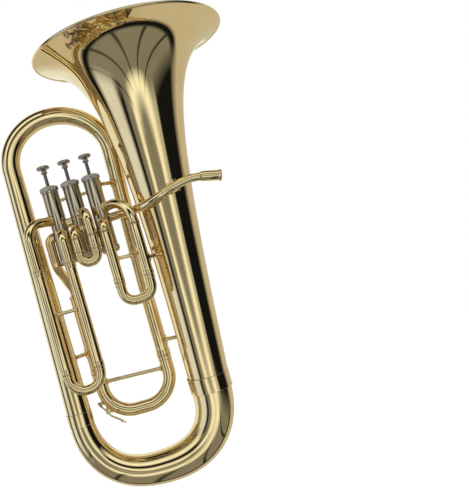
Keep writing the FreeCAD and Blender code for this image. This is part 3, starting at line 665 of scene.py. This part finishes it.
def valve(index):
    number = index + 1
    centre = valve_axis(index)
    low, high = box_mm("valve_casing_%d" % number)
    foot = level(centre, low.z)
    height = high.z - low.z
    casing = [straight_tube(foot, level(centre, high.z), CASING_R, CASING_BORE)]
    for z, size in ((8.0, 0.35), (height - 6.5, 0.45)):
        ring = ring_profile(CASING_R + size, CASING_R - 0.2, z, z + 1.4, 0.5)
        casing.append(lathe_data(ring, foot, UP, ROUND))
    add_piece("casing_%d" % number, combine(casing), "horn", CASING, ["valve_casing_%d" % number])

    cap_low, cap_high = box_mm("valve_top_cap_%d" % number)
    base = level(centre, cap_low.z)
    tall = cap_high.z - cap_low.z
    radius = (cap_high.x - cap_low.x) / 2
    crown = softened([
        (CASING_BORE, 3.0), (CASING_R + 0.2, 3.0), (CASING_R + 0.2, 5.2), (radius - 0.5, 5.2),
        (radius - 0.9, tall - 3.1), (radius - 4.0, tall - 1.2), (5.4, tall - 0.6), (5.0, tall),
        (3.4, tall), (3.2, tall - 2.0), (CASING_BORE, tall - 2.4),
    ], 0.4)
    cap = [
        knurled(0.0, 5.6, radius, 0.55, 44, base, CASING_R),
        lathe_data(crown, base, UP, ROUND),
    ]
    add_piece(
        "top_cap_%d" % number, combine(cap),
        "horn", NICKEL, ["valve_top_cap_%d" % number], sharp_deg=50,
    )

    cap_low, cap_high = box_mm("valve_bottom_cap_%d" % number)
    base = level(centre, cap_low.z)
    tall = cap_high.z - cap_low.z
    cup = softened([
        (2.6, 0.0), (4.2, 0.0), (4.8, 0.8), (radius - 3.2, 1.3), (radius - 1.2, 2.6), (radius - 0.6, 4.6),
        (CASING_R + 0.1, 5.0), (CASING_BORE, 6.0), (CASING_BORE, 2.0), (2.6, 2.0),
    ], 0.4)
    cap = [
        lathe_data(cup, base, UP, ROUND),
        knurled(4.4, tall, radius, 0.5, 44, base, CASING_R),
    ]
    add_piece(
        "bottom_cap_%d" % number, combine(cap),
        "horn", NICKEL, ["valve_bottom_cap_%d" % number], sharp_deg=50,
    )

    stem_low, stem_high = box_mm("valve_stem_%d" % number)
    stem_r = (stem_high.x - stem_low.x) / 2
    length = stem_high.z - stem_low.z
    stem = softened([
        (0, 0), (stem_r, 0), (stem_r, length - 3), (stem_r * 0.86, length - 2.4),
        (stem_r * 0.86, length - 1.0), (stem_r, length - 0.6), (stem_r, length), (0, length),
    ], 0.2)
    add_piece(
        "stem_%d" % number, lathe_data(stem, level(centre, stem_low.z), UP, ROUND_SMALL),
        "valve_%d" % number, STEM, ["valve_stem_%d" % number],
    )

    button_low, button_high = box_mm("finger_button_%d" % number)
    rim = (button_high.x - button_low.x) / 2
    tall = button_high.z - button_low.z
    outline = softened([
        (0, 0), (3.6, 0), (3.6, 1.4), (4.2, 2.4), (rim - 2.4, tall - 5.2), (rim - 0.5, tall - 4.2),
        (rim, tall - 2.8), (rim - 0.3, tall - 1.2), (rim - 1.4, tall), (rim - 2.6, tall - 0.1),
        (rim - 3.4, tall - 0.7), (4.0, tall - 1.25), (0, tall - 1.4),
    ], 0.6)
    add_piece(
        "button_%d" % number, lathe_data(outline, level(centre, button_low.z), UP, ROUND),
        "valve_%d" % number, BUTTON, ["finger_button_%d" % number],
    )


def felts(index):
    """Stop washer on top of the piston and a small cushion washer under the finger button."""
    number = index + 1
    low, high = box_mm("valve_felts_%d" % number)
    hole = (box_mm("valve_stem_%d" % number)[1].x - box_mm("valve_stem_%d" % number)[0].x) / 2 + 0.05
    stop_top = box_mm("valve_top_cap_%d" % number)[1].z - 2.3
    shapes = []
    for radius, foot, top in (((high.x - low.x) / 2, low.z, stop_top), (4.6, high.z - 3.0, high.z)):
        tall = top - foot
        rim = [(hole, 0), (radius, 0), (radius, tall), (hole, tall)]
        shapes.append(lathe_data(softened(rim, 0.6), level(valve_axis(index), foot), UP, ROUND_SMALL))
    add_piece("felts_%d" % number, combine(shapes), "valve_%d" % number, FELT, ["valve_felts_%d" % number])


def return_spring(index):
    """Coil spring under a piston, built at one length; the real one flattens as the valve is pressed."""
    number = index + 1
    node = "valve_spring_%d" % number
    low, high = box_mm(node)
    foot = level(valve_axis(index), low.z + SPRING_WIRE_R)
    coil_r = (high.x - low.x) / 2 - SPRING_WIRE_R
    tall = high.z - low.z
    count = SPRING_TURNS * 36 + 1
    line = []
    for i in range(count):
        angle = 2 * math.pi * i / 36
        rise = (tall - 2 * SPRING_WIRE_R) * i / (count - 1)
        line.append(foot + Vector((coil_r * math.cos(angle), coil_r * math.sin(angle), rise)))
    shape = sweep_data(line, [SPRING_WIRE_R] * count, 12)
    coil = add_piece("return_spring_%d" % number, shape, "horn", STEEL, [node])
    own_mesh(coil)


def struts():
    z = STRUT_Z
    shapes = []
    for index in (0, 1):
        left, right = level(valve_axis(index + 1), z), level(valve_axis(index), z)
        span = right.x - left.x
        edge = CASING_R - 0.4
        half = [(0, edge), (3.0, edge), (2.8, edge + 0.9), (1.5, edge + 1.8), (1.5, span / 2 - 1.3),
                (2.6, span / 2 - 0.9), (3.5, span / 2 - 0.3)]
        whole = half + [(r, span - h) for r, h in half[::-1]]
        shapes.append(lathe_data(softened(whole, 0.25), left, Vector((1, 0, 0)), ROUND_SMALL))
    tubes_low, tubes_high = box_mm("third_slide_outer_tubes")
    left = Vector((tubes_low.x + SLIDE_OUTER_R, (tubes_low.y + tubes_high.y) / 2, THIRD_ROD_Z))
    span = tubes_high.x - tubes_low.x - 2 * SLIDE_OUTER_R
    edge = SLIDE_OUTER_R - 0.5
    half = [(0, edge), (4.6, edge), (4.6, edge + 0.9), (3.6, edge + 1.7), (2.8, edge + 2.8), (2.6, edge + 5)]
    whole = half + [(r, span - h) for r, h in half[::-1]]
    shapes.append(lathe_data(softened(whole, 0.4), left, Vector((1, 0, 0)), ROUND_SMALL))
    add_piece("valve_section_rods", combine(shapes), "horn", BRASS, ["valve_section_struts"])

    shapes = []
    for index, z in ((0, 377.0), (1, 403.0)):
        left, right = level(valve_axis(index + 1), z), level(valve_axis(index), z)
        line = [left.lerp(right, t) for t in (0.36, 0.5, 0.64)]
        shapes.append(sweep_data(line, [BRANCH_TUBE_R] * 3, ROUND, 1.0))
    add_piece("inter_valve_links", combine(shapes), "horn", BRASS, ["inter_valve_tubes"])


# ---------------------------------------------------------------- link tube and leadpipe

LINK_X = -139.5
LINK_DROP_Z = 345
LINK_BENDS = (8.4, 24.0, 22.0)
LEADPIPE_POINTS = (
    (95.7, -62.5, 408), (77.5, -60.5, 409.5), (53.7, -58.5, 405.5), (31, -56, 398.5), (10.2, -46, 393.5),
    (-3.3, -31.4, 393), (-12.5, -17.5, 393), (-26.4, -8, 394), (-49.7, -2, 394),
)
LEADPIPE_R = (5.6, 6.5)


def link_tube():
    axis = level(valve_axis(2), KNUCKLE_Z)
    foot = TUNING_FEET[0]
    bottom_z = box_mm("valve_link_tube")[0].z
    points = [
        axis - Vector((CASING_R - 0.6, 0, 0)),
        Vector((LINK_X, axis.y, KNUCKLE_Z)),
        Vector((LINK_X, axis.y, LINK_DROP_Z)),
        level(foot, bottom_z + 10), level(foot, bottom_z),
    ]
    line = rounded(points, LINK_BENDS)
    shapes = [sweep_data(line, [BRANCH_TUBE_R] * len(line), ROUND, 1.0)]
    band = [(TUNING_LEG_R, -2.5), (TUNING_OUTER_R + 0.8, -2.5), (TUNING_OUTER_R + 0.8, 1.5),
            (BRANCH_TUBE_R + 0.6, 4.0), (BRANCH_TUBE_R, 6.0), (BRANCH_TUBE_R - 0.5, 1.0)]
    shapes.append(lathe_data(softened(band, 0.5), level(foot, bottom_z), UP, ROUND))
    add_piece("valve_link_pipe", combine(shapes), "horn", BRASS, ["valve_link_tube"])


def smooth_line(points, per_span=14):
    """Centripetal curve through points."""
    points = [Vector(p) for p in points]
    padded = [points[0] * 2 - points[1]] + points + [points[-1] * 2 - points[-2]]
    line = []
    for i in range(1, len(padded) - 2):
        p0, p1, p2, p3 = padded[i - 1:i + 3]
        t0 = 0.0
        t1 = t0 + math.sqrt((p1 - p0).length)
        t2 = t1 + math.sqrt((p2 - p1).length)
        t3 = t2 + math.sqrt((p3 - p2).length)
        for k in range(per_span):
            t = t1 + (t2 - t1) * k / per_span
            a1 = p0 * ((t1 - t) / (t1 - t0)) + p1 * ((t - t0) / (t1 - t0))
            a2 = p1 * ((t2 - t) / (t2 - t1)) + p2 * ((t - t1) / (t2 - t1))
            a3 = p2 * ((t3 - t) / (t3 - t2)) + p3 * ((t - t2) / (t3 - t2))
            b1 = a1 * ((t2 - t) / (t2 - t0)) + a2 * ((t - t0) / (t2 - t0))
            b2 = a2 * ((t3 - t) / (t3 - t1)) + a3 * ((t - t1) / (t3 - t1))
            line.append(b1 * ((t2 - t) / (t2 - t1)) + b2 * ((t - t1) / (t2 - t1)))
    line.append(points[-1])
    return line


def leadpipe():
    axis = valve_axis(0)
    line = [p for p in smooth_line(LEADPIPE_POINTS) if (p - level(axis, p.z)).length > CASING_R - 1.5]
    shape = sweep_data(line, taper(LEADPIPE_R[0], LEADPIPE_R[1], len(line)), ROUND, 0.7)
    add_piece("leadpipe_tube", shape, "horn", BRASS, ["leadpipe"])

    mount = next(m for m in frame["record"]["mounts"] if m["name"] == "mouthpiece_receiver")
    out = Vector(mount["axis"])
    length = mount["dims"]["length_mm"]
    mouth = Vector(mount["pos_m"]) / MM + out * (length / 2)
    sleeve = softened([
        (5.9, 0.5), (6.5, 0), (7.9, 0.6), (8.3, 2.0), (7.9, 3.4), (7.2, 4.0), (7.2, 22), (6.8, 27), (5.9, 30),
        (5.3, 30), (5.3, length), (5.9, length),
    ], 0.6)
    shape = lathe_data(sleeve, mouth, -out, ROUND)
    add_piece("receiver_sleeve", shape, "horn", BRASS, ["mouthpiece_receiver"])


# ---------------------------------------------------------------- water key

def water_key_skin():
    for node, material in (
        ("water_key_bracket", BRASS), ("water_key_pin", STEEL), ("water_key_lever", BRASS),
        ("water_key_cork", CORK), ("water_key_spring", STEEL),
    ):
        dress(node, material)


def dress(node, material, sharp_deg=35):
    """A CAD node that stays as it is, with a finished material and softened edges."""
    obj = frame["nodes"][node]
    obj.data.materials.clear()
    obj.data.materials.append(material)
    for polygon in obj.data.polygons:
        polygon.use_smooth = True
    bevel = obj.modifiers.new("edge", "BEVEL")
    bevel.width = 0.00025
    bevel.segments = 2
    bevel.limit_method = "ANGLE"
    bevel.angle_limit = math.radians(sharp_deg)
    weight = obj.modifiers.new("weight", "WEIGHTED_NORMAL")
    weight.keep_sharp = True


# ---------------------------------------------------------------- stage

FLOOR_R = 0.9
FLOOR_Z = -0.0005


def facing(degrees):
    """Place on a colour ramp of a direction that is this far round from the camera's side."""
    return degrees / 180.0


# A studio that only the metal sees: soft panels and dark flags, level with the object, below it and above
# it. Each has the angles from the camera's side where it starts and ends, its strength and its tint. Left is
# minus in the level list; the other two are the same on both sides.
BRIGHT, LIT, SOFT, DIM, DARK = 1.1, 0.9, 0.55, 0.25, 0.01
COOL = (0.9, 1.0, 1.1)
CREAM = (1.0, 1.05, 0.95)
WARM = (1.1, 1.05, 0.85)
LEVEL_PANELS = (
    (-180, -115, LIT, CREAM),  # pale sweep behind, left half
    (-105, -95, DARK, WARM),  # gap beside the window
    (-85, -60, LIT, COOL),  # window
    (-50, -45, DARK, WARM),  # gap beside the window
    (-40, -30, DIM, CREAM),  # wall
    (-25, -20, BRIGHT, CREAM),  # left key light
    (-15, -10, DIM, CREAM),
    (-5, 0, SOFT, CREAM),  # fill card at the camera
    (5, 15, DIM, CREAM),
    (20, 25, BRIGHT, CREAM),  # right key light
    (35, 40, SOFT, CREAM),  # wall
    (45, 90, DARK, COOL),  # black flag
    (110, 180, SOFT, WARM),  # pale sweep behind, right half
)
LOW_PANELS = (
    (0, 10, DIM, CREAM),
    (20, 25, BRIGHT, CREAM),  # key lights on the table
    (35, 90, DIM, CREAM),  # table
    (95, 100, DARK, COOL),  # edge of the table
    (105, 180, SOFT, WARM),  # foot of the sweep
)
HIGH_PANELS = (
    (0, 10, DIM, CREAM),
    (15, 20, BRIGHT, CREAM),  # tops of the key lights
    (30, 40, DARK, WARM),  # ceiling
    (50, 60, BRIGHT, CREAM),  # overhead light
    (80, 105, DARK, WARM),  # ceiling
    (130, 180, LIT, CREAM),  # top of the sweep
)
# Thin dark seams in the table, as angles round the line of sight, with their half widths as shares of a turn
SEAMS = (-150, -125, -100, -75, -50)
SEAM_CORE = 0.002
SEAM_EDGE = 0.006
SEAM_SHADE = (0.1, 0.1, 0.1)
SEAM_STARTS = (18, 30)
SEAM_ENDS = (92, 94)
# How steep a mirrored direction is where the level panels start and finish giving way to the others
TILT_FADE = (0.30, 0.60)


def panel_stops(panels, start, size):
    """Colour stops of a ramp from panels; the camera's side is at start, and a half turn is size long."""
    stops = []
    for first, last, strength, tint in panels:
        colour = tuple(strength * share for share in tint)
        stops += [(start + size * angle / 180.0, colour) for angle in (first, last)]
    return stops


def studio():
    """Plain white surroundings for the eye, and light and dark panels for the metal to mirror."""
    world = bpy.data.worlds.new("studio")
    bpy.context.scene.world = world
    world.use_nodes = True
    nodes = Nodes(world.node_tree)
    output = nodes.add("ShaderNodeOutputWorld")
    split = nodes.add("ShaderNodeSeparateXYZ")
    nodes.link(nodes.add("ShaderNodeTexCoord").outputs["Generated"], split.inputs["Vector"])
    x, y, z = split.outputs["X"], split.outputs["Y"], split.outputs["Z"]

    angle = nodes.math("DIVIDE", nodes.math("ARCCOSINE", nodes.math("MULTIPLY", y, -1.0)), math.pi)
    signed = nodes.math("MULTIPLY", nodes.math("SIGN", x), angle)
    level_turn = nodes.span(signed, -1.0, 1.0, 0.0, 1.0)
    level_view = nodes.ramp(level_turn, panel_stops(LEVEL_PANELS, 0.5, 0.5))
    low_view = nodes.ramp(angle, panel_stops(LOW_PANELS, 0.0, 1.0))
    high_view = nodes.ramp(angle, panel_stops(HIGH_PANELS, 0.0, 1.0))

    reach = nodes.math("SQRT", nodes.math("SUBTRACT", 1.0, nodes.math("MULTIPLY", y, y)))
    tilt = nodes.math("DIVIDE", z, nodes.math("MAXIMUM", reach, 0.02))
    roll = nodes.span(nodes.math("ARCTAN2", z, x), -math.pi, math.pi, 0.0, 1.0)
    stops = []
    for seam in SEAMS:
        centre = (seam + 180.0) / 360.0
        stops += [(centre - SEAM_EDGE, (1, 1, 1)), (centre - SEAM_CORE, SEAM_SHADE)]
        stops += [(centre + SEAM_CORE, SEAM_SHADE), (centre + SEAM_EDGE, (1, 1, 1))]
    seam_view = nodes.ramp(roll, stops)
    seam_near = nodes.span(angle, facing(SEAM_STARTS[0]), facing(SEAM_STARTS[1]), 0.0, 1.0)
    seam_far = nodes.span(angle, facing(SEAM_ENDS[0]), facing(SEAM_ENDS[1]), 1.0, 0.0)
    seam_share = nodes.math("MULTIPLY", seam_near, seam_far)
    seamed = nodes.blend(seam_share, low_view, nodes.blend(1.0, low_view, seam_view, "MULTIPLY"))

    view = nodes.blend(nodes.span(tilt, -TILT_FADE[0], -TILT_FADE[1], 0.0, 1.0), level_view, seamed)
    view = nodes.blend(nodes.span(tilt, TILT_FADE[0], TILT_FADE[1], 0.0, 1.0), view, high_view)

    seen = nodes.add("ShaderNodeBackground")
    seen.inputs["Color"].default_value = (1, 1, 1, 1)
    mirrored = nodes.add("ShaderNodeBackground")
    nodes.link(view, mirrored.inputs["Color"])
    which = nodes.add("ShaderNodeMixShader")
    nodes.link(nodes.add("ShaderNodeLightPath").outputs["Is Camera Ray"], which.inputs["Fac"])
    nodes.link(mirrored.outputs["Background"], which.inputs[1])
    nodes.link(seen.outputs["Background"], which.inputs[2])
    nodes.link(which.outputs["Shader"], output.inputs["Surface"])


def floor():
    """Round pale floor under the bow, only a little wider than the instrument."""
    steps = 96
    verts = [
        (FLOOR_R * math.cos(2 * math.pi * k / steps), FLOOR_R * math.sin(2 * math.pi * k / steps), FLOOR_Z)
        for k in range(steps)
    ]
    mesh = bpy.data.meshes.new("floor")
    mesh.from_pydata(verts, [], [tuple(range(steps))])
    obj = bpy.data.objects.new("floor", mesh)
    bpy.context.scene.collection.objects.link(obj)
    material, nodes = new_material("pale_floor")
    output = nodes.add("ShaderNodeOutputMaterial")
    shader = nodes.add("ShaderNodeBsdfPrincipled")
    shader.inputs["Base Color"].default_value = (0.2, 0.2, 0.2, 1)
    shader.inputs["Roughness"].default_value = 0.9
    shader.inputs["Emission Color"].default_value = (1, 1, 1, 1)
    shader.inputs["Emission Strength"].default_value = 1.0
    which = nodes.add("ShaderNodeMixShader")
    nodes.link(nodes.add("ShaderNodeLightPath").outputs["Is Camera Ray"], which.inputs["Fac"])
    nodes.link(nodes.add("ShaderNodeBsdfTransparent").outputs["BSDF"], which.inputs[1])
    nodes.link(shader.outputs["BSDF"], which.inputs[2])
    nodes.link(which.outputs["Shader"], output.inputs["Surface"])
    mesh.materials.append(material)


CAMERA_PLACE = (8.5, -948.0, 307.0)
CAMERA_ROLL_DEG = 16.0
CAMERA_LENS = 47.95
CAMERA_SHIFT = (0.1487, 0.0426)


def camera():
    """Level with the middle of the instrument, rolled so that its tubes lean left."""
    data = bpy.data.cameras.new("camera")
    data.sensor_width = 36.0
    data.lens = CAMERA_LENS
    data.clip_start = 0.05
    data.shift_x, data.shift_y = CAMERA_SHIFT
    obj = bpy.data.objects.new("camera", data)
    bpy.context.scene.collection.objects.link(obj)
    place = Vector(CAMERA_PLACE) * MM
    forward = Vector((0, 1, 0))
    roll = math.radians(CAMERA_ROLL_DEG)
    up = Vector((math.sin(roll), 0, math.cos(roll)))
    right = forward.cross(up)
    turn = Matrix((right, up, -forward)).transposed()
    obj.matrix_world = Matrix.Translation(place) @ turn.to_4x4()
    bpy.context.scene.camera = obj


bell()
branches()
ferrules()
tuning_slide()
slide_bands()
for valve_index in range(3):
    valve(valve_index)
    dress("piston_%d" % (valve_index + 1), NICKEL)
    felts(valve_index)
    return_spring(valve_index)
struts()
link_tube()
leadpipe()
water_key_skin()
for brace_node in ("tuning_braces", "return_leg_braces", "bell_front_braces"):
    dress(brace_node, BRASS)
studio()
floor()
camera()
bpy.context.scene.view_settings.view_transform = "Standard"
